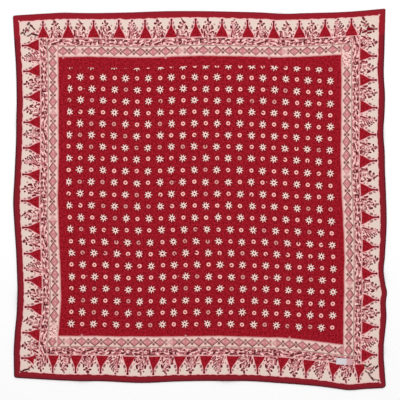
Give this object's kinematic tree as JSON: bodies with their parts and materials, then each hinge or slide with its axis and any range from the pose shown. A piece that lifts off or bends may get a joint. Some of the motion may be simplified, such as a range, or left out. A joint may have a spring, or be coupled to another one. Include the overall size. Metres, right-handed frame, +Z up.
{
  "type": "batik bandana",
  "caption": "Square hemmed cotton kerchief lying flat, stamped in red and cream with a triangle border and a star-and-ring field, with a small blank sewn label.",
  "frame": {"origin": "middle of the bounding box, on the surface that the cloth lies on", "axes": "+Z up out of the cloth's face, +X to the right and +Y to the top of the printed face, with the label at the lower right"},
  "size_m": [0.5607, 0.5719, 0.0044],
  "materials": {
    "printed_cotton": "matt plain-weave cotton, deep red with cream batik motifs",
    "label_weave": "smooth woven label, off-white, blank"
  },
  "bodies": {
    "root": {"cloth": "printed_cotton", "label": "label_weave"}
  },
  "joints": []
}
